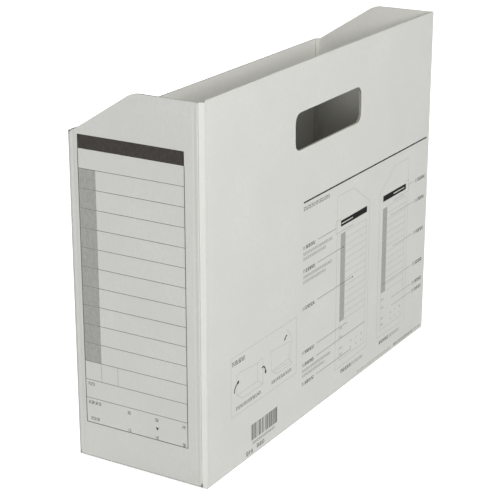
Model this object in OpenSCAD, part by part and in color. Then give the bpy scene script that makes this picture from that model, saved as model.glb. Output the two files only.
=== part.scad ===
// Archival file box: one sheet of thin corrugated board, die-cut, creased and glued at one seam.
// One long side is tall and has a hand hole, the other is low, and each end panel steps down between them.
// Origin: centre of the footprint at the resting face. +X runs along the box to the back end panel,
// -Y is the tall right side, +Z is up.

/* [Outside size] */
// Length over the two end panels
box_length = 322; // [260:1:420]
// Width over the two side panels
box_width = 100; // [80:1:160]
// Height of the tall right side
tall_height = 252; // [235:1:330]
// Height of the low left side
low_height = 221; // [200:1:228]
// How far the end panels stop below the top of the tall side
end_step = 1; // [0:0.5:3]

/* [Board] */
// Thickness of the board
board = 1.6; // [1.2:0.1:2]
// Leg of the 45 degree bevel at each upright corner
bevel_leg = 2.8; // [2.6:0.1:5]
// Free gap between the layers of the bottom
layer_gap = 0.2; // [0.1:0.05:0.4]

/* [End panels] */
// Distance from the tall side to the peak where the sloping edge starts
peak_from_tall_side = 49.5; // [40:0.5:60]
// Radius of the rounded peak
peak_radius = 18; // [3:0.5:24]

/* [Hand hole] */
// Length of the hole
hole_length = 92.5; // [70:0.5:110]
// Height of the hole
hole_height = 25.5; // [20:0.5:34]
// Height of the hole's lower edge above the floor
hole_bottom = 194; // [150:1:196]
// How far the hole's centre lies towards the front end
hole_offset = 2.75; // [0:0.25:10]
// Corner radius of the hole
hole_radius = 6.5; // [2:0.5:12]

/* [Bottom] */
// Depth of the short right bottom flap
right_flap_depth = 32; // [26:1:34]
// Gap between the edges of the two long flaps
flap_butt_gap = 0.6; // [0.4:0.1:2]
// Depth of the two end flaps
end_flap_depth = 22; // [14:1:24]
// How far each lock tongue reaches over the left flap
tongue_reach = 11; // [5:1:12]
// Length of each lock tongue along the box
tongue_length = 34; // [20:1:50]
// Distance of each tongue from the middle of the box
tongue_from_middle = 62; // [30:1:90]

/* [Glued seam] */
// Width of the glue flap inside the left side
glue_flap_width = 26; // [15:1:40]
// Distance from the glue flap to the ends of the seam
glue_flap_inset = 7; // [4:1:20]
// Free gap between the front left corner strip and the left side
seam_clearance = 0.35; // [0.2:0.05:0.6]

/* [Hidden] */

outer_face = "#dcddd7";
inner_face = "#c9cac3";
bevel_face = "#e8e9e3";

// Inner faces of the walls. Every crease folds about a line where two inner faces meet.
in_x = box_length / 2 - board;
in_y = box_width / 2 - board;
crease_inset = bevel_leg + board * (sqrt(2) - 1);
side_end = box_length / 2 - crease_inset;
end_end = box_width / 2 - crease_inset;
strip_width = sqrt(2) * (in_x - side_end);

// The long flaps lie on the floor and the end flaps lie on them.
side_base = board;
end_base = 2 * board + layer_gap;
end_top = tall_height - end_step;

// The left flap takes the width that the right flap leaves.
left_flap_depth = 2 * in_y - right_flap_depth - flap_butt_gap;
flap_end_clearance = 0.4;

// Beside a corner that closes as the box folds flat, an end flap is cut back twice its depth,
// and beside a corner that opens it is cut back once.
closing_cut = 2.1 * end_flap_depth;
opening_cut = 1.1 * end_flap_depth;
flap_corner_gap = 1;

tongue_corner = 6;
tongue_root = 12;
tongue_edge_gap = 0.6;
glue_flap_taper = 12;

peak_y = peak_from_tall_side - box_width / 2;
slope_angle = atan2(end_top - low_height, end_end - peak_y);

function arc(centre, radius, from, to, steps = 10) = [
    for (i = [0 : steps])
        let (a = from + (to - from) * i / steps)
        centre + radius * [cos(a), sin(a)]
];

// Builds a wall from its outline in the plane of the wall, and stands it in place.
module wall_along_x(inner_y) {
    translate([0, inner_y, 0]) rotate([90, 0, 0]) linear_extrude(board) children();
}

module wall_along_y(inner_x) {
    translate([inner_x, 0, 0]) rotate([90, 0, 90]) linear_extrude(board) children();
}

module flap_sheet(base) {
    translate([0, 0, base]) linear_extrude(board) children();
}

module side_outline(height) {
    translate([-side_end, side_base]) square([2 * side_end, height - side_base]);
}

module hole_outline() {
    flat_length = hole_length - 2 * hole_radius;
    flat_height = hole_height - 2 * hole_radius;
    translate([-hole_offset, hole_bottom + hole_height / 2]) {
        square([flat_length, hole_height], center = true);
        square([hole_length, flat_height], center = true);
        for (x = [-1, 1], y = [-1, 1])
            translate([x * flat_length / 2, y * flat_height / 2])
                circle(r = hole_radius, $fn = 48);
    }
}

// High beside the tall side, level to the peak, then sloping down to the low side.
module end_outline() {
    half_turn = slope_angle / 2;
    run = peak_radius * tan(half_turn);
    peak_arc = arc([peak_y - run, end_top - peak_radius], peak_radius, 90, 90 - slope_angle);
    polygon(concat(
        [[-end_end, end_base], [-end_end, end_top]],
        peak_arc,
        [[end_end, low_height], [end_end, end_base]]
    ));
}

// A narrow upright plate across one corner. xs and ys say which corner it is on.
module corner_strip(xs, ys, height, left_gap = 0) {
    facing = atan2(ys, xs);
    middle = [xs * (in_x + side_end) / 2, ys * (in_y + end_end) / 2];
    translate([middle[0], middle[1], side_base])
        rotate([0, 0, facing])
            translate([0, -xs * left_gap / 2 - (strip_width - left_gap) / 2, 0])
                cube([board, strip_width - left_gap, height - side_base]);
}

module right_side_panel() {
    color(outer_face)
        wall_along_x(-in_y)
            difference() {
                side_outline(tall_height);
                hole_outline();
            }
}

module left_side_panel() {
    color(outer_face)
        wall_along_x(in_y + board)
            side_outline(low_height);
}

module front_end_panel() {
    color(outer_face)
        wall_along_y(-in_x - board)
            end_outline();
}

module back_end_panel() {
    color(outer_face)
        wall_along_y(in_x)
            end_outline();
}

module front_right_corner_strip() {
    color(bevel_face) corner_strip(-1, -1, end_top);
}

module back_right_corner_strip() {
    color(bevel_face) corner_strip(1, -1, end_top);
}

module back_left_corner_strip() {
    color(bevel_face) corner_strip(1, 1, low_height);
}

module front_left_corner_strip() {
    color(bevel_face) corner_strip(-1, 1, low_height, seam_clearance);
}

// Glued to the inner face of the left side at the seam, with tapered ends.
module glue_flap() {
    near = -side_end + seam_clearance;
    far = near + glue_flap_width;
    low = end_base + glue_flap_inset;
    high = low_height - glue_flap_inset;
    color(inner_face)
        wall_along_x(in_y)
            polygon([
                [near, low], [far, low + glue_flap_taper],
                [far, high - glue_flap_taper], [near, high]
            ]);
}

module long_flap(depth, ys) {
    length = 2 * (side_end - flap_end_clearance);
    flap_sheet(0)
        translate([-length / 2, ys > 0 ? in_y - depth : -in_y])
            square([length, depth]);
}

module right_bottom_flap() {
    color(inner_face) long_flap(right_flap_depth, -1);
}

module left_bottom_flap() {
    color(inner_face) long_flap(left_flap_depth, 1);
}

// A trapezium from the crease of an end panel. It is drawn for the front end.
module end_flap_outline() {
    half = end_end - flap_corner_gap;
    polygon([
        [-in_x, -half], [-in_x + end_flap_depth, -half + opening_cut],
        [-in_x + end_flap_depth, half - closing_cut], [-in_x, half]
    ]);
}

module front_bottom_flap() {
    color(inner_face)
        flap_sheet(end_base - board)
            end_flap_outline();
}

module back_bottom_flap() {
    color(inner_face)
        flap_sheet(end_base - board)
            rotate([0, 0, 180])
                end_flap_outline();
}

// Rooted on the right flap, and tucked over the edge of the left flap.
module lock_tongue(x) {
    butt_y = -in_y + right_flap_depth;
    tip_y = butt_y + tongue_reach;
    half = tongue_length / 2;
    color(inner_face) {
        translate([x - half, butt_y - tongue_root, board])
            cube([tongue_length, tongue_root - tongue_edge_gap, board]);
        translate([x, 0, board + layer_gap])
            linear_extrude(board)
                polygon([
                    [-half, butt_y - tongue_root], [half, butt_y - tongue_root],
                    [half, butt_y], [half - tongue_corner, tip_y],
                    [tongue_corner - half, tip_y], [-half, butt_y]
                ]);
    }
}

module front_lock_tongue() {
    lock_tongue(-tongue_from_middle);
}

module back_lock_tongue() {
    lock_tongue(tongue_from_middle);
}

right_side_panel();
left_side_panel();
front_end_panel();
back_end_panel();
front_right_corner_strip();
back_right_corner_strip();
back_left_corner_strip();
front_left_corner_strip();
glue_flap();
right_bottom_flap();
left_bottom_flap();
front_bottom_flap();
back_bottom_flap();
front_lock_tongue();
back_lock_tongue();
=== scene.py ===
"""Looks of the archival box: corrugated board walls, creases, print, paper materials, light and camera.

Lengths are in millimetres up to the point where a vertex is made.
A wall is drawn in its own coordinates: u along it, v up it (or away from the crease, on a flap) and
d, the depth into the board from its outer face.
"""
from math import atan2, ceil, cos, exp, hypot, pi, radians, sin, sqrt, tan
from random import Random

import bmesh
import bpy
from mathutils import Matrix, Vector


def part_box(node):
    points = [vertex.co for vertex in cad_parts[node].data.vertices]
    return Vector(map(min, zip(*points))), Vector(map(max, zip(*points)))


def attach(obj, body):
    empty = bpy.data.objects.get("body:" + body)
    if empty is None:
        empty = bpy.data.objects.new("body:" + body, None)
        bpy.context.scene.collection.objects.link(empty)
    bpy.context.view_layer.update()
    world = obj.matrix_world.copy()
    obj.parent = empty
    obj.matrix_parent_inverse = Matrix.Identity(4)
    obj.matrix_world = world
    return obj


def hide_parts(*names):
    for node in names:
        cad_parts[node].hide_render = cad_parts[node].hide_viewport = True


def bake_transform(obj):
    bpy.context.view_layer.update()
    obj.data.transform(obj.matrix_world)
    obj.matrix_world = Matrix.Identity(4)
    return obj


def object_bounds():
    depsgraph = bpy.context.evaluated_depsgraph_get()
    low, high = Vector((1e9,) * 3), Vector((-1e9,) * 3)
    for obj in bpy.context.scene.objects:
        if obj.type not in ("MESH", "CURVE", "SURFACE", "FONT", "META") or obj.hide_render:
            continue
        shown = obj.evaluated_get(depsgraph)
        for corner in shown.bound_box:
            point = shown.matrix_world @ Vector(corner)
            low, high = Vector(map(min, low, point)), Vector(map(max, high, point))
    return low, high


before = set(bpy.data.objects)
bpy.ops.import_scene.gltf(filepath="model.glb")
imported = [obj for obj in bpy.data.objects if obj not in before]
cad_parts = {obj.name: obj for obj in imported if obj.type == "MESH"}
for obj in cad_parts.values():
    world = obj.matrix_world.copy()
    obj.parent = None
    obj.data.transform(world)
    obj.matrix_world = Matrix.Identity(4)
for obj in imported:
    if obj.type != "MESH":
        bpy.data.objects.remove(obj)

MM = 0.001
cad_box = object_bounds()


def node_box(node):
    low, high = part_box(node)
    return low / MM, high / MM


# ---------------------------------------------------------------- driving sizes, from the frame
right_low, right_high = node_box("right_side_panel")
left_high = node_box("left_side_panel")[1]
front_low, front_high = node_box("front_end_panel")
glue_low, glue_high = node_box("glue_flap")
right_flap_low, right_flap_high = node_box("right_bottom_flap")
left_flap_low, left_flap_high = node_box("left_bottom_flap")
front_flap_low, front_flap_high = node_box("front_bottom_flap")

BOARD = right_high.y - right_low.y
IN_Y = -right_high.y
IN_X = -front_high.x
SIDE_END = right_high.x
END_END = front_high.y
SIDE_BASE = right_low.z
END_BASE = front_low.z
TALL = right_high.z
LOW = left_high.z
END_TOP = front_high.z
STRIP_WIDTH = hypot(IN_X - SIDE_END, IN_Y - END_END)
SEAM_GAP = SIDE_END + glue_low.x

# Design values that a box cannot give, the same as in the part's source.
PEAK_Y = -0.5
PEAK_RADIUS = 18.0
HOLE_LENGTH = 92.5
HOLE_HEIGHT = 25.5
HOLE_BOTTOM = 194.0
HOLE_OFFSET = 2.75
HOLE_RADIUS = 6.5
GLUE_TAPER = 12.0
CLOSING_CUT = 46.2
OPENING_CUT = 24.2

# ---------------------------------------------------------------- how the board is made up
FACE_REST = 0.06      # the outer paper lies this far inside the CAD face, so that ink stays in the box
LINER = 0.24          # thickness of each paper facing
MEDIUM = 0.17         # thickness of the fluted paper
FLUTE_PITCH = 3.2
FLUTE_INSET = 0.12    # the fluted paper stops this far short of the facings at a cut
WAVE_MIDDLE = (FACE_REST + BOARD) / 2
WAVE_HEIGHT = (BOARD - FACE_REST) / 2 - LINER - MEDIUM / 2
BOW = 0.45            # how far the middle of a wall's free edge leans inwards
SCORE_DIP = 0.11      # depth of the dip that scoring leaves beside a crease
SCORE_PLACE = 2.3
SCORE_LINE = 0.45     # depth of the pressed line on the inner face, at a side wall's creases
CREASE_ROOT = 0.06    # the inner paper stops this far short of every other fold line
RELIEF = 1.6          # height of the relief nick at the foot of each end wall's creases
FLAP_ROOT = 0.02      # a bottom flap starts this far from its fold line
FLAP_TIP = 0.35       # least depth of an end flap, where a corner is cut back to nothing
FLAP_SIDE = 0.4       # an end flap's first and last column lie this far inside its CAD box
SCORE_SPREAD = 0.75
PRESS_WIDTH = 0.5     # how far from a crease its pressed line on the inner face fades out
CREASE_ZONE = 6.0     # width beside a crease where a wall's columns are close together
FINE_STEP = 0.5

OUTER, INNER, CUT, FLUTES = 0, 1, 2, 3


# ---------------------------------------------------------------- materials
def new_material(name):
    mat = bpy.data.materials.new(name)
    mat.use_nodes = True
    nodes = mat.node_tree.nodes
    nodes.clear()
    out = nodes.new("ShaderNodeOutputMaterial")
    shader = nodes.new("ShaderNodeBsdfPrincipled")
    mat.node_tree.links.new(shader.outputs["BSDF"], out.inputs["Surface"])
    return mat, shader


class Graph:
    """A short way to add nodes to one material."""

    def __init__(self, mat):
        self.tree = mat.node_tree
        self.coords = self.add("ShaderNodeTexCoord").outputs["Object"]

    def add(self, kind, **settings):
        node = self.tree.nodes.new(kind)
        for key, value in settings.items():
            setattr(node, key, value)
        return node

    def link(self, a, b):
        self.tree.links.new(a, b)

    def noise(self, scale, stretch=(1, 1, 1), detail=3.0, rough=0.55):
        mapping = self.add("ShaderNodeMapping")
        mapping.inputs["Scale"].default_value = stretch
        self.link(self.coords, mapping.inputs["Vector"])
        node = self.add("ShaderNodeTexNoise")
        node.inputs["Scale"].default_value = scale
        node.inputs["Detail"].default_value = detail
        node.inputs["Roughness"].default_value = rough
        self.link(mapping.outputs["Vector"], node.inputs["Vector"])
        return node.outputs["Fac"]

    def math(self, kind, a, b):
        node = self.add("ShaderNodeMath", operation=kind)
        for socket, value in zip(node.inputs, (a, b)):
            if isinstance(value, (int, float)):
                socket.default_value = value
            else:
                self.link(value, socket)
        return node.outputs[0]

    def spread(self, value, low, high):
        """Maps noise, which mostly lies between 0.3 and 0.7, to low..high."""
        node = self.add("ShaderNodeMapRange")
        node.inputs["From Min"].default_value = 0.3
        node.inputs["From Max"].default_value = 0.7
        node.inputs["To Min"].default_value = low
        node.inputs["To Max"].default_value = high
        self.link(value, node.inputs["Value"])
        return node.outputs["Result"]

    def mix(self, factor, a, b):
        node = self.add("ShaderNodeMix", data_type="RGBA")
        sockets = [s for s in node.inputs if s.type == "RGBA"]
        for socket, value in zip(sockets, (a, b)):
            if isinstance(value, (tuple, list)):
                socket.default_value = (*value, 1)
            else:
                self.link(value, socket)
        if isinstance(factor, (int, float)):
            node.inputs["Factor"].default_value = factor
        else:
            self.link(factor, node.inputs["Factor"])
        return [s for s in node.outputs if s.type == "RGBA"][0]

    def ramp(self, value, low, high):
        node = self.add("ShaderNodeValToRGB")
        node.color_ramp.elements[0].position = low
        node.color_ramp.elements[1].position = high
        self.link(value, node.inputs["Fac"])
        return node.outputs["Color"]

    def wave(self, direction, pitch_mm, distortion=0.6):
        """Bands across one axis, one per flute."""
        node = self.add("ShaderNodeTexWave", wave_type="BANDS", bands_direction=direction)
        node.inputs["Scale"].default_value = 2 * pi / (20 * pitch_mm * MM)
        node.inputs["Distortion"].default_value = distortion
        node.inputs["Detail"].default_value = 1.0
        node.inputs["Detail Scale"].default_value = 0.4
        self.link(self.coords, node.inputs["Vector"])
        return node.outputs["Fac"]


def paper(name, colour, flute_direction="X", contrast=1.0, washboard=0.35):
    """Coated recycled board: cloudy tone, upright streaks, fine fibres, rare specks, faint washboard."""
    mat, shader = new_material(name)
    g = Graph(mat)
    darker = tuple(c * (1 - 0.060 * contrast) for c in colour)
    lighter = tuple(min(1.0, c * (1 + 0.035 * contrast)) for c in colour)
    clouds = g.spread(g.noise(26, detail=4), 0.0, 1.0)
    tone = g.mix(clouds, darker, lighter)
    streaks = g.spread(g.noise(60, stretch=(14, 14, 1.6), detail=3), 0.0, 0.20 * contrast)
    tone = g.mix(streaks, tone, tuple(c * 0.93 for c in colour))
    mottle = g.spread(g.noise(620, stretch=(1, 1, 0.6), detail=3, rough=0.65), 0.0, 1.0)
    tone = g.mix(mottle, tone, tuple(c * 0.925 for c in colour))
    fibres = g.spread(g.noise(1500, stretch=(1, 1, 0.35), detail=4, rough=0.7), 0.0, 0.5)
    tone = g.mix(fibres, tone, tuple(c * 0.95 for c in colour))
    specks = g.ramp(g.noise(900, detail=2), 0.70, 0.76)
    tone = g.mix(g.math("MULTIPLY", specks, 0.45), tone, tuple(c * 0.62 for c in colour))
    flutes = g.wave(flute_direction, FLUTE_PITCH)
    tone = g.mix(g.math("MULTIPLY", flutes, 0.05), tone, tuple(c * 0.9 for c in colour))
    g.link(tone, shader.inputs["Base Color"])

    g.link(g.spread(g.noise(340, detail=3), 0.80, 0.94), shader.inputs["Roughness"])
    height = g.math("ADD", g.math("MULTIPLY", flutes, washboard), g.noise(1100, detail=4, rough=0.7))
    height = g.math("ADD", height, g.math("MULTIPLY", g.noise(120, stretch=(1, 1, 0.3)), 0.8))
    bump = g.add("ShaderNodeBump")
    bump.inputs["Strength"].default_value = 0.22
    bump.inputs["Distance"].default_value = 0.00012
    g.link(height, bump.inputs["Height"])
    g.link(bump.outputs["Normal"], shader.inputs["Normal"])
    shader.inputs["Specular IOR Level"].default_value = 0.25
    return mat


def cut_edge(name, colour):
    """The raw fibres of a cut: rougher and a little duller than the faces."""
    mat, shader = new_material(name)
    g = Graph(mat)
    torn = g.spread(g.noise(2200, detail=5, rough=0.75), 0.0, 1.0)
    tone = g.mix(torn, tuple(c * 0.78 for c in colour), tuple(min(1, c * 1.05) for c in colour))
    g.link(tone, shader.inputs["Base Color"])
    g.link(g.spread(g.noise(900, detail=3), 0.88, 1.0), shader.inputs["Roughness"])
    bump = g.add("ShaderNodeBump")
    bump.inputs["Strength"].default_value = 0.5
    bump.inputs["Distance"].default_value = 0.0002
    g.link(torn, bump.inputs["Height"])
    g.link(bump.outputs["Normal"], shader.inputs["Normal"])
    shader.inputs["Specular IOR Level"].default_value = 0.15
    return mat


def ink(name, colour, worn=0.12, shine=0.4):
    """Offset ink on rough paper: the tone breaks up a little where the fibres stand up."""
    mat, shader = new_material(name)
    g = Graph(mat)
    lighter = tuple(c + (0.72 - c) * worn for c in colour)
    cover = g.spread(g.noise(1700, detail=4, rough=0.7), 0.0, 1.0)
    mottle = g.spread(g.noise(620, stretch=(1, 1, 0.6), detail=3, rough=0.65), 0.0, 0.9)
    tone = g.mix(cover, colour, lighter)
    tone = g.mix(mottle, tone, tuple(c * 0.80 for c in colour))
    g.link(tone, shader.inputs["Base Color"])
    g.link(g.spread(cover, 0.50, 0.66), shader.inputs["Roughness"])
    shader.inputs["Specular IOR Level"].default_value = shine
    bump = g.add("ShaderNodeBump")
    bump.inputs["Strength"].default_value = 0.15
    bump.inputs["Distance"].default_value = 0.0001
    g.link(cover, bump.inputs["Height"])
    g.link(bump.outputs["Normal"], shader.inputs["Normal"])
    return mat


OUTER_TONE = (0.655, 0.660, 0.625)
INNER_TONE = (0.668, 0.664, 0.626)
side_paper = paper("outer_paper_side", OUTER_TONE, "X")
end_paper = paper("outer_paper_end", OUTER_TONE, "Y")
inner_side_paper = paper("inner_paper_side", INNER_TONE, "X", contrast=1.2, washboard=0.6)
inner_end_paper = paper("inner_paper_end", INNER_TONE, "Y", contrast=1.2, washboard=0.6)
fold_paper = paper("fold_paper", tuple(c * 0.90 for c in OUTER_TONE), "DIAGONAL", washboard=0.1)
# Inner faces of creases and corner strips: a darker copy of the inner paper, partly pressed fibres and
# partly painted shade of the inner corners.
pressed_shaded_paper = paper("pressed_shaded_paper", tuple(c * 0.86 for c in INNER_TONE), "Y", contrast=1.2, washboard=0.1)
edge_fibre = cut_edge("cut_edge_fibre", (0.58, 0.585, 0.55))
fluted_paper = cut_edge("fluted_paper", (0.36, 0.34, 0.30))
INKS = {
    "black": ink("ink_black", (0.040, 0.034, 0.027), worn=0.05),
    "deep": ink("ink_deep", (0.012, 0.012, 0.010), worn=0.01, shine=0.1),
    "grey": ink("ink_grey", (0.385, 0.390, 0.360), worn=0.1),
    "line": ink("ink_line", (0.090, 0.088, 0.080), worn=0.06),
    "shade": ink("ink_shade", (0.200, 0.200, 0.185), worn=0.1),
    "pale": ink("ink_pale", (0.220, 0.220, 0.205), worn=0.1),
    "faint": ink("ink_faint", (0.375, 0.375, 0.350), worn=0.1),
}


# ---------------------------------------------------------------- mesh helpers
def finish_mesh(name, bm, materials, sharp=30):
    bmesh.ops.recalc_face_normals(bm, faces=bm.faces)
    mesh = bpy.data.meshes.new(name)
    bm.to_mesh(mesh)
    bm.free()
    for mat in materials:
        mesh.materials.append(mat)
    mesh.shade_smooth()
    mesh.set_sharp_from_angle(angle=radians(sharp))
    obj = bpy.data.objects.new(name, mesh)
    bpy.context.scene.collection.objects.link(obj)
    return obj


def shell(bm, place, us, rows, present, outer, inner, face_mat, back_mat, rim_mat):
    """A closed sheet over a grid. rows(u) gives the v of each row, present(i, j) says whether the cell
    between columns i, i+1 and rows j, j+1 is there, outer and inner give the depth of its faces."""
    count = len(rows(us[0]))
    grids = [[[None] * count for _ in us] for _ in range(2)]
    cells = [(i, j) for i in range(len(us) - 1) for j in range(count - 1) if present(i, j)]
    for i, j in cells:
        for a, b in ((i, j), (i + 1, j), (i + 1, j + 1), (i, j + 1)):
            if grids[0][a][b] is None:
                u, v = us[a], rows(us[a])[b]
                for grid, depth in zip(grids, (outer, inner)):
                    grid[a][b] = bm.verts.new(Vector(place(u, v, depth(u, v))) * MM)
    edges = {}
    for i, j in cells:
        loop = [(i, j), (i + 1, j), (i + 1, j + 1), (i, j + 1)]
        for grid, mat, order in ((grids[0], face_mat, 1), (grids[1], back_mat, -1)):
            face = bm.faces.new([grid[a][b] for a, b in loop][::order])
            face.material_index = mat
        for p, q in zip(loop, loop[1:] + loop[:1]):
            edges.setdefault(frozenset((p, q)), []).append((p, q))
    for uses in edges.values():
        if len(uses) == 1:
            (a, b), (c, d) = uses[0]
            face = bm.faces.new([grids[0][a][b], grids[1][a][b], grids[1][c][d], grids[0][c][d]])
            face.material_index = rim_mat


def steps(a, b, step):
    """Points from a to b, no further apart than step, without b."""
    n = max(1, ceil((b - a) / step - 1e-9))
    return [a + (b - a) * i / n for i in range(n)]


def merged(*lists):
    out = []
    for x in sorted(x for xs in lists for x in xs):
        if not out or x - out[-1] > 1e-4:
            out.append(x)
    return out


def edge_fine(a, b, step):
    """Columns for a wall: close together near its two creases, where the score dips, and wide between."""
    near = min(CREASE_ZONE, (b - a) / 4)
    return merged(steps(a, a + near, FINE_STEP), steps(a + near, b - near, step),
                  steps(b - near, b, FINE_STEP), [b])


# ---------------------------------------------------------------- walls
class Wall:
    """Where one wall stands, how it bows, and where its ends are."""

    def __init__(self, spot, start, end, bow=0.0, top=None, scored=True, pressed=0.0):
        self.spot, self.start, self.end, self.bow, self.top = spot, start, end, bow, top
        self.scored, self.pressed = scored, pressed

    def lean(self, u, v):
        if not self.bow:
            return 0.0
        along = min(1, max(0, (u - self.start) / (self.end - self.start)))
        return self.bow * sin(pi * along) ** 1.2 * max(0.0, v / self.top) ** 1.5

    def place(self, u, v, d):
        return self.spot(u, v, d + self.lean(u, v))

    def lining(self, u, v):
        """Depth of the inner paper's surface: level, but pressed in right at a crease."""
        near = min(u - self.start, self.end - u)
        return BOARD - self.pressed * exp(-((near / PRESS_WIDTH) ** 2))

    def skin(self, u, v):
        """Depth of the outer paper's surface: level, with a dip beside each scored crease."""
        if not self.scored:
            return FACE_REST
        near = min(u - self.start, self.end - u)
        return FACE_REST + SCORE_DIP * exp(-(((near - SCORE_PLACE) / SCORE_SPREAD) ** 2))


def side_wall(sign, top):
    spot = lambda u, v, d: (u, sign * (IN_Y + BOARD - d), v)
    return Wall(spot, -SIDE_END, SIDE_END, BOW, top, pressed=SCORE_LINE)


def end_wall(sign):
    spot = lambda u, v, d: (sign * (IN_X + BOARD - d), u, v)
    return Wall(spot, -END_END, END_END, BOW * 0.6, END_TOP, pressed=CREASE_ROOT)


def strip_wall(xs, ys):
    """u runs from the side wall's end to the end wall's edge, along the inner face."""
    start = Vector((xs * SIDE_END, ys * IN_Y))
    along = (Vector((xs * IN_X, ys * END_END)) - start).normalized()
    out = Vector((xs, ys)).normalized()

    def spot(u, v, d):
        p = start + along * u + out * (BOARD - d)
        return p.x, p.y, v

    return Wall(spot, 0, STRIP_WIDTH, scored=False, pressed=CREASE_ROOT)


def long_flap(sign):
    return Wall(lambda u, v, d: (u, sign * (IN_Y - v), d), -SIDE_END, SIDE_END, scored=False)


def end_flap(sign):
    base = front_flap_low.z
    return Wall(lambda u, v, d: (sign * (IN_X - v), u, base + d), -END_END, END_END, scored=False)


def board(name, wall, us, rows, present, materials, phase=0.0):
    """Two paper facings with the fluted paper between them, open at the cut edges."""
    bm = bmesh.new()
    shell(bm, wall.place, us, rows, present, wall.skin, lambda u, v: wall.skin(u, v) + LINER,
          OUTER, OUTER, CUT)
    shell(bm, wall.place, us, rows, present, lambda u, v: wall.lining(u, v) - LINER, wall.lining,
          INNER, INNER, CUT)

    fluted = merged(us, steps(us[0], us[-1], FLUTE_PITCH / 8), [us[-1]])
    column = []
    for a, b in zip(fluted, fluted[1:]):
        middle = (a + b) / 2
        column.append(max(i for i, u in enumerate(us) if u <= middle))
    wave = lambda u: WAVE_MIDDLE + WAVE_HEIGHT * sin(2 * pi * u / FLUTE_PITCH + phase)

    def inset_rows(u):
        """The fluted paper stops just short of the facings at every cut."""
        vs = rows(u)
        return [vs[0] + FLUTE_INSET] + list(vs[1:-1]) + [vs[-1] - FLUTE_INSET]

    shell(bm, wall.place, fluted, inset_rows, lambda i, j: present(column[i], j),
          lambda u, v: wave(u) - MEDIUM / 2, lambda u, v: wave(u) + MEDIUM / 2, FLUTES, FLUTES, FLUTES)
    return finish_mesh(name, bm, (*materials, fluted_paper))


def plain_rows(low, high, count):
    """Rows spread evenly between two heights, which may depend on u."""
    def rows(u):
        a, b = low(u), high(u)
        return [a + (b - a) * k / count for k in range(count + 1)]
    return rows


everywhere = lambda i, j: True
side_papers = (side_paper, inner_side_paper, edge_fibre)
end_papers = (end_paper, inner_end_paper, edge_fibre)
fold_papers = (fold_paper, pressed_shaded_paper, edge_fibre)


def add(obj, body, slot, *nodes):
    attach(obj, body)
    if nodes:
        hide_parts(*nodes)


# Right side: the tall wall, with the hand hole. Rows meet the hole's edges, columns meet its ends.
hole_start = -HOLE_OFFSET - HOLE_LENGTH / 2
hole_stop = hole_start + HOLE_LENGTH
hole_top = HOLE_BOTTOM + HOLE_HEIGHT


def corner_rise(u):
    """How far the hole's rounded corner has taken its edge in, at u."""
    near = min(u - hole_start, hole_stop - u)
    if near >= HOLE_RADIUS:
        return 0.0
    near = max(0.0, near)
    return HOLE_RADIUS - sqrt(HOLE_RADIUS ** 2 - (HOLE_RADIUS - near) ** 2)


ROWS_BELOW, ROWS_BESIDE, ROWS_ABOVE = 14, 4, 4


def right_rows(u):
    rise = corner_rise(u)
    lower, upper = HOLE_BOTTOM + rise, hole_top - rise
    return (steps(SIDE_BASE, lower, (lower - SIDE_BASE) / ROWS_BELOW)
            + steps(lower, upper, (upper - lower) / ROWS_BESIDE)
            + steps(upper, TALL, (TALL - upper) / ROWS_ABOVE) + [TALL])


corner_turns = [HOLE_RADIUS * (1 - cos(radians(a))) for a in range(0, 91, 9)]
right_us = merged(
    edge_fine(-SIDE_END, SIDE_END, 3.0),
    [hole_start + c for c in corner_turns],
    [hole_stop - c for c in corner_turns],
)
right_us = [u for u in right_us if not any(
    0 < abs(u - c) < 0.1 for c in (hole_start, hole_stop, -SIDE_END, SIDE_END))]


def right_present(i, j):
    middle = (right_us[i] + right_us[i + 1]) / 2
    return not (ROWS_BELOW <= j < ROWS_BELOW + ROWS_BESIDE and hole_start < middle < hole_stop)


right_wall = side_wall(-1, TALL)
right_board = board("right_side_board", right_wall, right_us, right_rows, right_present, side_papers)
for face in right_board.data.polygons:
    # Painted shade: the hole's cut face gets the dark fluted-paper material instead of the cut-edge one, so
    # it is darker than the other cut edges, as if in the hole's shade.
    u, v = face.center.x / MM, face.center.z / MM
    at_hole = hole_start - 1 < u < hole_stop + 1 and HOLE_BOTTOM - 1 < v < hole_top + 1
    if face.material_index == CUT and at_hole:
        face.material_index = FLUTES
add(right_board, "right_side", "outer_board", "right_side_panel")

# Left side: the low wall, with the glue flap inside it at the front.
left_wall = side_wall(1, LOW)
left_us = edge_fine(-SIDE_END, SIDE_END, 3.0)
left_board = board("left_side_board", left_wall, left_us,
                   plain_rows(lambda u: SIDE_BASE, lambda u: LOW, 16), everywhere, side_papers)
add(left_board, "left_side", "outer_board", "left_side_panel")

glue_wall = Wall(lambda u, v, d: (u, IN_Y - BOARD + d - left_wall.lean(u, v), v), -SIDE_END, SIDE_END,
                 scored=False)
glue_taper = GLUE_TAPER / (glue_high.x - glue_low.x)
glue_low_edge = lambda u: glue_low.z + (u - glue_low.x) * glue_taper
glue_high_edge = lambda u: glue_high.z - (u - glue_low.x) * glue_taper
glue_us = merged(steps(glue_low.x, glue_high.x, 2.0), [glue_high.x])
glue_board = board("glue_flap_board", glue_wall, glue_us, plain_rows(glue_low_edge, glue_high_edge, 12),
                   everywhere, (inner_side_paper, inner_side_paper, edge_fibre))
add(glue_board, "left_side", "inner_board", "glue_flap")

# End walls: level beside the tall side, a rounded peak, then a slope down to the low side.
slope = atan2(END_TOP - LOW, END_END - PEAK_Y)
arc_start = PEAK_Y - PEAK_RADIUS * tan(slope / 2)
arc_stop = arc_start + PEAK_RADIUS * sin(slope)


def end_edge(u):
    if u <= arc_start:
        return END_TOP
    if u <= arc_stop:
        return END_TOP - PEAK_RADIUS + sqrt(PEAK_RADIUS ** 2 - (u - arc_start) ** 2)
    return LOW + (END_END - u) * tan(slope)


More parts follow.
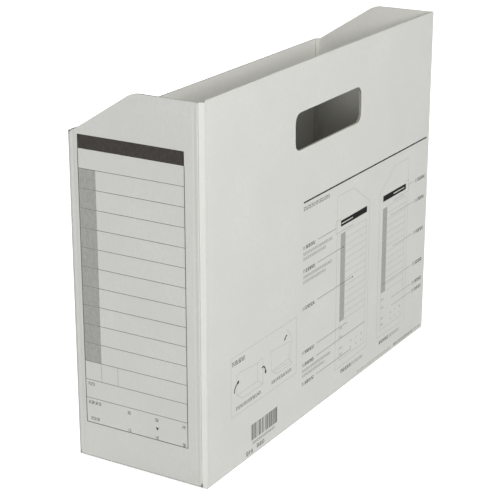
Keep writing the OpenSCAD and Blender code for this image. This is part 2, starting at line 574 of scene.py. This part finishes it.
end_us = merged(edge_fine(-END_END, END_END, 2.5), steps(arc_start, arc_stop, 0.45), [arc_stop])
end_rows = plain_rows(lambda u: END_BASE, end_edge, 16)
front_wall, back_wall = end_wall(-1), end_wall(1)
for name, wall, body in (("front", front_wall, "front_end"), ("back", back_wall, "back_end")):
    obj = board(f"{name}_end_board", wall, end_us, end_rows, everywhere, end_papers)
    add(obj, body, "outer_board", f"{name}_end_panel")

# Corner strips: the narrow bevels between two creases.
CORNERS = (
    ("front_right", -1, -1, END_TOP), ("back_right", 1, -1, END_TOP),
    ("back_left", 1, 1, LOW), ("front_left", -1, 1, LOW),
)
strip_us = merged(steps(0, STRIP_WIDTH, 0.33), [STRIP_WIDTH])
for name, xs, ys, top in CORNERS:
    us = strip_us
    if name == "front_left":
        us = [SEAM_GAP + u * (STRIP_WIDTH - SEAM_GAP) / STRIP_WIDTH for u in strip_us]
    obj = board(f"{name}_corner_board", strip_wall(xs, ys), us,
                plain_rows(lambda u: SIDE_BASE, lambda u, top=top: top, 8), everywhere, fold_papers)
    add(obj, f"{name}_strip", "bevel_board", f"{name}_corner_strip")

# Bottom flaps.
flap_us = merged(steps(right_flap_low.x, right_flap_high.x, 3.0), [right_flap_high.x])
for name, sign, depth in (
    ("right", -1, right_flap_high.y - right_flap_low.y),
    ("left", 1, left_flap_high.y - left_flap_low.y),
):
    obj = board(f"{name}_bottom_flap_board", long_flap(sign), flap_us,
                plain_rows(lambda u: FLAP_ROOT, lambda u, depth=depth: depth, 6), everywhere, side_papers)
    add(obj, f"{name}_flap", "inner_board", f"{name}_bottom_flap")

end_flap_half = front_flap_high.y
end_flap_depth = front_flap_high.x - front_flap_low.x


def flap_reach(low_cut, high_cut):
    """Depth of an end flap at u: full, or less where a corner is cut back."""
    def reach(u):
        return max(FLAP_TIP, min(end_flap_depth, (u + end_flap_half) * end_flap_depth / low_cut,
                             (end_flap_half - u) * end_flap_depth / high_cut))
    return reach


for name, sign, low_cut, high_cut in (
    ("front", -1, OPENING_CUT, CLOSING_CUT), ("back", 1, CLOSING_CUT, OPENING_CUT),
):
    first, last = -end_flap_half + FLAP_SIDE, end_flap_half - FLAP_SIDE
    us = merged(steps(first, last, 2.0), [low_cut - end_flap_half, end_flap_half - high_cut, last])
    obj = board(f"{name}_bottom_flap_board", end_flap(sign), us,
                plain_rows(lambda u: FLAP_ROOT, flap_reach(low_cut, high_cut), 5), everywhere, end_papers)
    add(obj, f"{name}_flap", "inner_board", f"{name}_bottom_flap")

# The two lock tongues keep their CAD shape, with eased edges.
for name in ("front_lock_tongue", "back_lock_tongue"):
    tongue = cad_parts[name]
    tongue.data.materials.clear()
    tongue.data.materials.append(inner_side_paper)
    ease = tongue.modifiers.new("eased_edges", "BEVEL")
    ease.width = 0.25 * MM
    ease.segments = 2


# ---------------------------------------------------------------- creases
def crease(name, centre, first, second, axis, reach, groove=0.0, groove_at=0.5):
    """The bent board between two flat plates: a wedge about the fold line, with a pressed groove.
    first and second point from the fold line to the two outer faces, axis runs along the fold line."""
    first, second, axis, centre = (Vector(x) for x in (first, second, axis, centre))
    turn = first.angle(second)
    radius = BOARD - FACE_REST
    tall = reach[1] - reach[0]
    angle_steps, ring_steps, length_steps = 10, 4, max(1, round(tall / 12))
    bm = bmesh.new()

    def point(ring, k, n):
        share = k / angle_steps
        dip = groove * exp(-(((share - groove_at) / 0.2) ** 2)) * (ring / ring_steps) ** 2
        r = CREASE_ROOT + (radius - CREASE_ROOT) * ring / ring_steps - dip
        a = turn * share
        direction = (first * sin(turn - a) + second * sin(a)) / sin(turn)
        return (centre + direction * r + axis * (reach[0] + tall * n / length_steps)) * MM

    verts = {(r, k, n): bm.verts.new(point(r, k, n))
             for r in range(ring_steps + 1) for k in range(angle_steps + 1) for n in range(length_steps + 1)
             if n in (0, length_steps) or r in (0, ring_steps) or k in (0, angle_steps)}

    def quad(keys, mat):
        bm.faces.new([verts[k] for k in keys]).material_index = mat

    for k in range(angle_steps):
        for n in range(length_steps):
            for r, mat in ((0, INNER), (ring_steps, OUTER)):
                quad([(r, k, n), (r, k + 1, n), (r, k + 1, n + 1), (r, k, n + 1)], mat)
    for r in range(ring_steps):
        for n in range(length_steps):
            for k in (0, angle_steps):
                quad([(r, k, n), (r + 1, k, n), (r + 1, k, n + 1), (r, k, n + 1)], CUT)
        for k in range(angle_steps):
            for n in (0, length_steps):
                quad([(r, k, n), (r + 1, k, n), (r + 1, k + 1, n), (r, k + 1, n)], CUT)
    obj = finish_mesh(name, bm, fold_papers, sharp=50)
    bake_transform(obj)


UP = (0, 0, 1)
for name, xs, ys, top in CORNERS:
    bevel = Vector((xs, ys, 0)).normalized()
    if name != "front_left":
        crease(f"{name}_side_crease", (xs * SIDE_END, ys * IN_Y, 0), (0, ys, 0),
               bevel, UP, (SIDE_BASE, top), groove=0.12, groove_at=0.4)
    crease(f"{name}_end_crease", (xs * IN_X, ys * END_END, 0), (xs, 0, 0),
           bevel, UP, (END_BASE + RELIEF, top), groove=0.42, groove_at=0.35)

DOWN = (0, 0, -1)
for name, ys in (("right", -1), ("left", 1)):
    crease(f"{name}_bottom_crease", (0, ys * IN_Y, SIDE_BASE), (0, ys, 0),
           DOWN, (1, 0, 0), (right_flap_low.x, right_flap_high.x), groove=0.15)
for name, xs in (("front", -1), ("back", 1)):
    crease(f"{name}_bottom_crease", (xs * IN_X, 0, END_BASE), (xs, 0, 0),
           DOWN, (0, 1, 0), (front_flap_low.y, front_flap_high.y), groove=0.15)


# ---------------------------------------------------------------- print
INK_BACK = FACE_REST - 0.004
# How far each ink stands off the paper. Where two cross, the higher one shows.
INK_RISE = {
    "grey": 0.015, "shade": 0.022, "pale": 0.029, "faint": 0.029,
    "line": 0.036, "black": 0.043, "deep": 0.043,
}


class Print:
    """Ink on one wall. Every mark is a thin closed ribbon that follows the wall's surface."""

    def __init__(self, wall, seed):
        self.wall, self.rng = wall, Random(seed)
        self.meshes = {tone: bmesh.new() for tone in INKS}

    def ribbon(self, points, width, tone="line", closed=False):
        """A band along a path. width is one number, or one for each point."""
        pts = [Vector(p) for p in (list(points) + [points[0]] if closed else points)]
        widths = list(width) if isinstance(width, (list, tuple)) else [width] * len(pts)
        path, sizes = [], []
        for k in range(len(pts) - 1):
            n = max(1, ceil((pts[k + 1] - pts[k]).length / 10))
            for s in range(n):
                path.append(pts[k].lerp(pts[k + 1], s / n))
                sizes.append(widths[k] + (widths[k + 1] - widths[k]) * s / n)
        if not closed:
            path.append(pts[-1])
            sizes.append(widths[-1])
        count = len(path)
        bm, wall, ink_face = self.meshes[tone], self.wall, FACE_REST - INK_RISE[tone]
        rings = []
        for k, p in enumerate(path):
            before = path[k - 1] if (k or closed) else p
            after = path[(k + 1) % count] if (k < count - 1 or closed) else p
            along = [(b - a).normalized() for a, b in ((before, p), (p, after)) if (b - a).length > 1e-9]
            mean = sum(along, Vector((0, 0))).normalized()
            miter = 1 / max(0.35, mean.dot(along[0]))
            side = Vector((-mean.y, mean.x)) * sizes[k] / 2 * miter
            ring = []
            for q, out in ((p + side, 1), (p - side, 1), (p - side, 0), (p + side, 0)):
                shift = wall.skin(q.x, q.y) - FACE_REST
                depth = (ink_face if out else INK_BACK) + shift
                ring.append(bm.verts.new(Vector(wall.place(q.x, q.y, depth)) * MM))
            rings.append(ring)
        pairs = list(zip(rings, rings[1:])) + ([(rings[-1], rings[0])] if closed else [])
        for a, b in pairs:
            for s in range(4):
                bm.faces.new([a[s], b[s], b[(s + 1) % 4], a[(s + 1) % 4]])
        if not closed:
            bm.faces.new(rings[0])
            bm.faces.new(rings[-1])

    def bar(self, u0, u1, v0, v1, tone="line"):
        """A filled rectangle."""
        if abs(u1 - u0) >= abs(v1 - v0):
            self.ribbon([(u0, (v0 + v1) / 2), (u1, (v0 + v1) / 2)], abs(v1 - v0), tone)
        else:
            self.ribbon([((u0 + u1) / 2, v0), ((u0 + u1) / 2, v1)], abs(u1 - u0), tone)

    def marks(self, u0, u1, v, height, tone="line", weight=0.17):
        """A line of small type, stood for by three rows of plain dashes that form no letters."""
        low, high = min(u0, u1), max(u0, u1)
        for level in (-0.34, 0.0, 0.34):
            u = low
            while u < high:
                stop = min(high, u + height * self.rng.uniform(0.35, 1.1))
                self.bar(u, stop, v + height * (level - weight / 2), v + height * (level + weight / 2), tone)
                u = stop + height * self.rng.uniform(0.2, 0.45)

    def done(self, name, body, slot="outer_board"):
        for tone, bm in self.meshes.items():
            if not bm.faces:
                bm.free()
                continue
            obj = finish_mesh(f"{name}_{tone}", bm, [INKS[tone]])
            add(obj, body, slot)


# The places below are millimetres on the wall, read off the photo.
# Label form on the front end: heading bar, ruled rows, grey column, boxes at the foot.
form = Print(front_wall, 3)
form_left, form_right = 40.9, -37.1
bar_top, bar_bottom = 220.5, 211.5
row_pitch = 12.85
row_top = bar_bottom - row_pitch + 0.15
full_rows, tab_rows = 13, 10
rows_of_lines = [row_top - row_pitch * k for k in range(full_rows)]
form_bottom = 27.2
tab_edge = 28.0
rule = 0.30
frame_half = 0.25
form.bar(form_right, form_left, bar_bottom, bar_top, "black")
for above, below in zip(rows_of_lines[:tab_rows], rows_of_lines[1:tab_rows + 1]):
    form.bar(tab_edge, form_left, below + rule / 2, above - rule / 2, "grey")
for k, v in enumerate(rows_of_lines):
    form.bar(form_right, tab_edge, v - rule / 2, v + rule / 2)
    form.bar(tab_edge, form_left, v - rule / 2, v + rule / 2, "shade" if 0 < k < tab_rows else "line")
for u in (form_left, form_right):
    form.bar(u - frame_half, u + frame_half, form_bottom, bar_bottom)
form.bar(form_right, form_left, form_bottom - frame_half, form_bottom + frame_half)
for u in (28.2, 15.4):
    form.bar(u - rule / 2, u + rule / 2, rows_of_lines[11], rows_of_lines[10], "faint")
form.marks(34.0, 38.8, 54.6, 2.4)
form.marks(29.4, 39.0, 41.6, 2.4)
form.marks(31.0, 37.5, 30.4, 2.2)
for u in (7.4, -13.7, -34.2):
    for v in (41.0, 28.8):
        form.marks(u - 1.2, u + 1.2, v, 2.4)
form.ribbon([(-14.1, 35.9), (-14.1, 33.9)], [2.4, 0.1], "black")
form.done("front_form", "front_end")

# Use notes on the right side: two small pictures of a labelled end, with leaders and captions.
notes = Print(right_wall, 11)
hair, fine = 0.22, 0.32
notes.bar(-37.2, 153.5, 156.3, 157.35, "deep")
notes.marks(-37, -1, 152.3, 3.0, "line", 0.17)


def note_text(u0, u1, v, height=2.7, lead=0.2):
    """A note's heading: a light first part, then a heavy part."""
    split = u0 + (u1 - u0) * lead
    notes.marks(u0, split, v, height, "pale", 0.17)
    notes.marks(split + 0.6, u1, v, height, "black", 0.22)


def small_picture(left, right, tall_at_left, slot_from, slot_to):
    """The outline of an end wall with its form. The tall side's edge is on the left or on the right.
    The heading bar has a light slot between slot_from and slot_to."""
    tall_u, low_u = (left, right) if tall_at_left else (right, left)
    peak_u = tall_u + (low_u - tall_u) * 0.49
    outline = [(tall_u, 148.2), (peak_u, 148.2), (low_u, 132.0), (low_u, 19.5), (tall_u, 18.2)]
    notes.ribbon(outline, hair, "faint", closed=True)
    first, last = left + 5.5, right - 4.2
    slot_low, slot_high = 126.5, 127.2
    tab_top, tab_foot, foot, tab_width, lines = 119.5, 53.5, 24.0, 7.2, 14
    notes.bar(first, last, 124.8, slot_low, "deep")
    notes.bar(first, last, slot_high, 129.2, "deep")
    notes.bar(first, slot_from, slot_low, slot_high, "deep")
    notes.bar(slot_to, last, slot_low, slot_high, "deep")
    notes.bar(first, first + tab_width, tab_foot, tab_top, "grey")
    pitch = (tab_top - tab_foot) / (lines - 1)
    for k in range(lines):
        v = tab_top - 0.1 - pitch * k
        notes.bar(first + tab_width + 0.2, last, v, v + hair, "faint")
    notes.bar(last - hair, last, foot, tab_top, "faint")
    notes.bar(first, first + hair, foot, tab_foot, "faint")
    notes.bar(first, last, foot, foot + hair, "faint")
    for v in (48.0, 41.5, 33.0, 28.0):
        notes.marks(first + 1.0, first + 5.0, v, 1.6, "pale")
    for u in (0.45, 0.66, 0.86):
        for v in (33.0, 28.0):
            mark = first + (last - first) * u
            notes.marks(mark, mark + 1.4, v, 1.5, "pale")


# The two pictures mirror each other: the tall side's edge is on the left in one, on the right in the other.
small_picture(11.0, 60.4, True, 17.4, 34.5)
small_picture(76.7, 124.0, False, 99.0, 117.5)
for start, stop in ((17.3, 34.5), (99.0, 117.5)):
    notes.bar(start, stop, 121.2, 121.2 + hair, "pale")

# Height of a note on the left, how far right its leader reaches, and how many lighter lines follow it.
leader_notes = (
    (125.0, 9.2, 2), (108.4, 21.0, 2), (81.4, 35.6, 0), (49.0, 28.2, 0), (39.8, 56.9, 2), (25.8, 35.2, 0),
)
for v, reach, sub_lines in leader_notes:
    note_text(-37.3, -20.5, v, 2.6)
    notes.bar(-17.0, reach, v + 0.4, v + 0.4 + fine, "line")
    for k in range(sub_lines):
        notes.marks(-37.0, 4.0 - 9.0 * k, v - 4.4 - 3.6 * k, 2.2, "pale")
for u, v in ((21.0, 108.7), (35.6, 81.7)):
    notes.bar(u - 0.6, u + 0.6, v - 0.4, v + 0.8, "line")
notes.ribbon([(16.0, 130.4), (9.2, 130.4), (9.2, 121.4), (35.0, 121.4)], fine, "faint")
for v, reach in ((127.0, 124.5), (111.0, 95.0), (85.5, 100.0), (60.0, 84.0), (44.5, 101.0), (38.0, 101.0)):
    note_text(136.0, 152.5, v, 2.8, 0.3)
    notes.bar(reach, 134.0, v, v + hair, "pale" if v > 120 else "line")
notes.ribbon([(117.0, 131.0), (124.5, 131.0), (124.5, 122.4), (98.0, 122.4)], hair, "faint")
for start in (20.0, 81.4):
    notes.marks(start, start + 16, 14.2, 2.8, "line", 0.24)
    notes.marks(start + 17, start + 34, 14.2, 2.8, "pale", 0.15)
notes.marks(46.0, 101.5, 3.9, 1.9, "pale", 0.12)
notes.marks(106.6, 141.0, 3.9, 2.0, "line", 0.18)
notes.marks(142.0, 154.0, 3.9, 2.0, "pale", 0.15)

# Assembly picture: a thin frame, two line drawings of a box being set up, and three arrows.
notes.ribbon([(-130, 38), (-45.5, 38), (-45.5, 79), (-130, 79)], hair, "faint", closed=True)
notes.marks(-128.6, -113.0, 74.6, 3.3, "black", 0.17)
notes.marks(-124.0, -93.0, 42.4, 2.6, "black", 0.16)
notes.marks(-79.0, -52.0, 43.4, 2.6, "black", 0.16)
for path in (
    [(-123, 64.8), (-119.2, 66.3), (-97, 64.4), (-92.4, 66.2), (-90, 64.2), (-90, 47.2), (-97, 51.7)],
    [(-97, 64.4), (-97, 51.7), (-123, 51.6), (-123, 64.8)],
    [(-123, 51.6), (-115.4, 47.0), (-90, 47.2)],
    [(-80, 66.2), (-55, 64.6), (-55.9, 52.4), (-79, 51.8), (-80, 66.2)],
    [(-79, 51.8), (-73, 47.7), (-51, 47.4), (-55.9, 52.4)],
    [(-76, 50.2), (-53.4, 49.9)],
    [(-59.7, 74.8), (-54.7, 70.7), (-52, 65.9), (-53.4, 50.8)],
):
    notes.ribbon(path, hair, "faint")


def arrow(points, head):
    """A curved arrow: an even shaft that flares at its end."""
    notes.ribbon(points, 0.95, "deep")
    tip = Vector(points[-1]) + (Vector(points[-1]) - Vector(points[-2])).normalized() * head
    notes.ribbon([points[-1], tip], [head * 1.2, 0.1], "deep")


arrow([(-126.2, 54.2), (-125.6, 56.6), (-124.2, 58.6), (-122.0, 59.8)], 2.4)
arrow([(-91.6, 59.0), (-89.4, 59.2), (-87.6, 57.8), (-86.9, 55.2)], 2.4)
arrow([(-58.4, 70.4), (-60.0, 70.0), (-61.0, 68.8)], 1.8)

# A generic run of bars, with plain dashes where digits would be.
bar_u = -105.0
bar_rng = Random(21)
while bar_u < -70.5:
    thick = bar_rng.choice((0.33, 0.66, 0.99))
    notes.bar(bar_u, bar_u + thick, 12.0, 23.3, "black")
    bar_u += thick + bar_rng.choice((0.5, 0.8, 1.3))
notes.marks(-103.5, -74.5, 9.6, 2.0, "line", 0.15)
notes.marks(-111.5, -103.0, 4.6, 3.2, "line", 0.2)
notes.marks(-98.0, -88.0, 5.4, 3.0, "line", 0.2)
notes.done("side_notes", "right_side")


# ---------------------------------------------------------------- room, light and camera
ROOM_LIGHT = 0.035
FLOOR_GLOW = 0.92     # lifts the floor to near white in the picture, without lighting the box


def floor_material():
    mat, shader = new_material("floor_pale")
    g = Graph(mat)
    cloud = g.spread(g.noise(3, detail=4), 0.0, 1.0)
    g.link(g.mix(cloud, (0.62, 0.62, 0.62), (0.65, 0.65, 0.65)), shader.inputs["Base Color"])
    shader.inputs["Roughness"].default_value = 0.9
    shader.inputs["Specular IOR Level"].default_value = 0.1
    shader.inputs["Emission Color"].default_value = (1, 1, 1, 1)
    seen = g.add("ShaderNodeLightPath").outputs["Is Camera Ray"]
    g.link(g.math("MULTIPLY", seen, FLOOR_GLOW), shader.inputs["Emission Strength"])
    return mat


def make_floor(half, segments=24):
    """A wide level floor, a hair under the box."""
    bm = bmesh.new()
    bmesh.ops.create_grid(bm, x_segments=segments, y_segments=segments, size=half)
    obj = finish_mesh("floor", bm, [floor_material()])
    obj.location.z = -0.0002


make_floor(9.0)

world = bpy.data.worlds.new("soft_room")
world.use_nodes = True
background = world.node_tree.nodes["Background"]
background.inputs["Color"].default_value = (1.0, 1.0, 1.0, 1)
background.inputs["Strength"].default_value = ROOM_LIGHT
bpy.context.scene.world = world

low, high = cad_box
centre = (Vector(low) + Vector(high)) / 2


def direction(azimuth, elevation):
    a, e = radians(azimuth), radians(elevation)
    return Vector((sin(a) * cos(e), -cos(a) * cos(e), sin(e)))


def soft_light(name, azimuth, elevation, distance, size, power):
    data = bpy.data.lights.new(name, "AREA")
    data.shape = "RECTANGLE"
    data.size, data.size_y = size
    data.energy = power
    obj = bpy.data.objects.new(name, data)
    way = direction(azimuth, elevation)
    obj.location = centre + way * distance
    obj.rotation_euler = (-way).to_track_quat("-Z", "Y").to_euler()
    bpy.context.scene.collection.objects.link(obj)


soft_light("key", -20, 27, 2.6, (1.3, 0.75), 54)
soft_light("fill", -75, 9.5, 3.5, (1.4, 0.45), 54)
soft_light("back", 165, 21, 1.8, (0.8, 0.3), 27)

# From a least-squares fit of a camera without lens shift to the box's corners in the photo, with the
# box's dimensions kept fixed. The photo's uprights are more parallel than such a camera shows them.
CAMERA_AZIMUTH = -59.14
CAMERA_ELEVATION = 19.41
CAMERA_DISTANCE = 1.126
CAMERA_AIM = Vector((-0.0022, 0.0125, 0.1022))
CAMERA_LENS = 114.6
camera_data = bpy.data.cameras.new("camera")
camera_data.sensor_width = 36
camera_data.lens = CAMERA_LENS
camera = bpy.data.objects.new("camera", camera_data)
toward = direction(CAMERA_AZIMUTH, CAMERA_ELEVATION)
camera.location = CAMERA_AIM + toward * CAMERA_DISTANCE
camera.rotation_euler = (-toward).to_track_quat("-Z", "Y").to_euler()
bpy.context.scene.collection.objects.link(camera)
bpy.context.scene.camera = camera

bpy.context.scene.view_settings.view_transform = "Standard"
